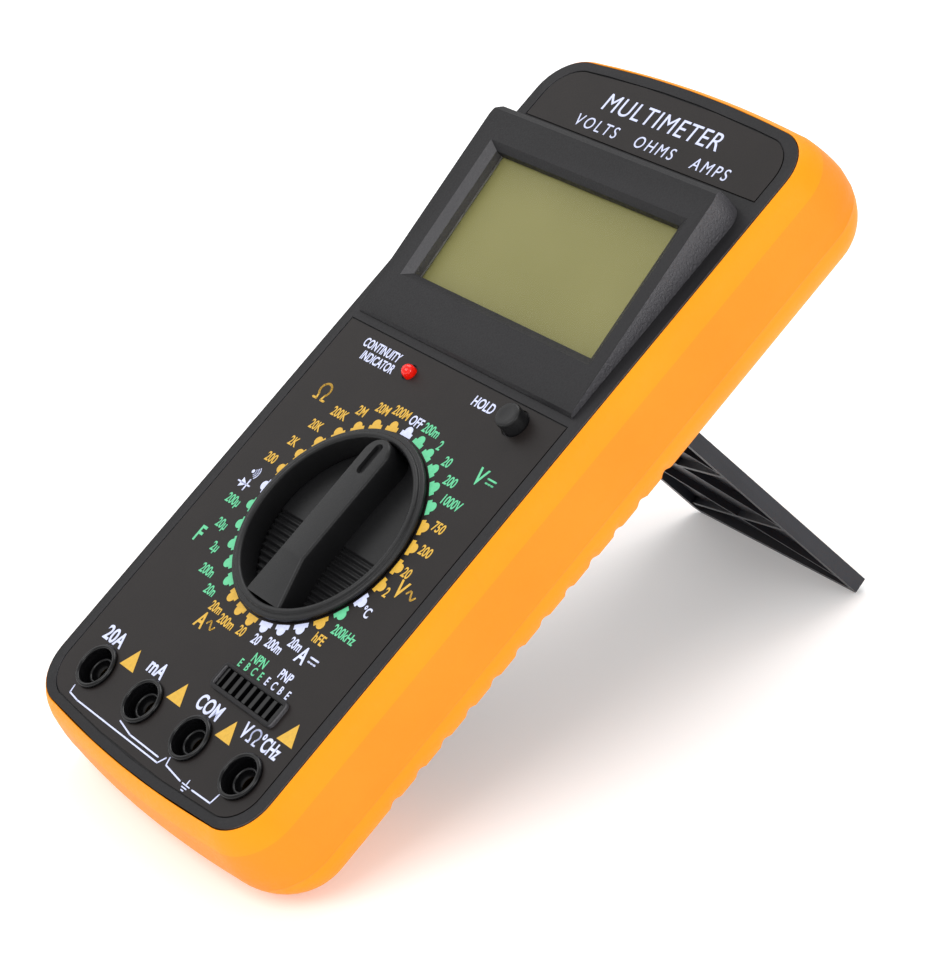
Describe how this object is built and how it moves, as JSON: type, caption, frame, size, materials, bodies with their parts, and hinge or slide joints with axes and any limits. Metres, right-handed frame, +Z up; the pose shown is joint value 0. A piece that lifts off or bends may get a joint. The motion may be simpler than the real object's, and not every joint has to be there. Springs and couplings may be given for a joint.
{
  "type": "digital multimeter",
  "caption": "Handheld digital multimeter in a rubber holster, leaning on its open rear kickstand, with a rotary range selector, hold button and banana sockets.",
  "frame": {"origin": "centre of the base: the middle of the whole outline, at the level of the table that the meter and its open stand rest on", "axes": "+Z up, +X across the meter's width to the user's right, -Y toward the user, whom the leaning face looks at"},
  "size_m": [0.0912, 0.1694, 0.1144],
  "materials": {
    "rubber": "satin rubber",
    "case": "fine grain",
    "label": "printed film",
    "lens": "clear",
    "lcd": "satin",
    "white_plastic": "satin",
    "zebra": "matt",
    "board": "solder mask",
    "black_gloss": "gloss",
    "led_red": "gloss",
    "brass": "plated",
    "copper": "bare wire",
    "fuse_glass": "clear",
    "steel": "plated",
    "part_orange": "coated",
    "part_blue": "moulded",
    "part_tan": "coated",
    "part_red": "coated",
    "knob": "satin",
    "rotor": "moulded",
    "battery_wrap": "wrapped",
    "lead_red": "flexible",
    "stand_black": "satin"
  },
  "bodies": {
    "meter": {"holster": "rubber", "front_case": "case", "rear_case": "case", "panel_label": "label", "title_label": "label", "display_lens": "lens", "display_glass": "lcd", "display_frame": "white_plastic", "contact_strips": "zebra", "display_board": "board", "main_board": "board", "converter_chip": "black_gloss", "transistor_socket": "black_gloss", "socket_contacts": "brass", "continuity_led": "led_red", "jack_shrouds": "black_gloss", "jack_sleeve_20a": "brass", "jack_sleeve_ma": "brass", "jack_sleeve_com": "brass", "jack_sleeve_v": "brass", "current_shunt": "copper", "fuse": "fuse_glass", "fuse_clips": "steel", "buzzer": "black_gloss", "thermistor": "part_orange", "trimmers": "part_blue", "resistors": "part_tan", "capacitors": "part_red", "hold_switch": "white_plastic", "detent_ring": "white_plastic", "battery": "battery_wrap", "battery_snap": "black_gloss", "battery_leads": "lead_red", "battery_door": "case", "door_screw": "steel", "case_screws": "steel", "board_screws": "steel"},
    "selector": {"selector_knob": "knob", "switch_rotor": "rotor", "wiper_contacts": "brass", "rotor_clip": "steel", "detent_balls": "steel", "detent_springs": "steel"},
    "hold_key": {"hold_button": "knob"},
    "stand": {"kickstand": "stand_black"}
  },
  "joints": [
    {"name": "selector_turn", "type": "hinge", "parent": "meter", "child": "selector", "pos_m": [0.00145, -0.03073, 0.05294], "axis": [0, -0.5225, 0.8526], "continuous": true},
    {"name": "hold_press", "type": "slide", "parent": "meter", "child": "hold_key", "axis": [0, 0.5225, -0.8526], "range_m": [0, 0.0018], "stiffness_N_per_m": 400, "springref_m": -0.002},
    {"name": "stand_fold", "type": "hinge", "parent": "meter", "child": "stand", "pos_m": [0.00145, 0.03307, 0.06366], "axis": [1, 0, 0], "range_deg": [-97, 0]}
  ]
}
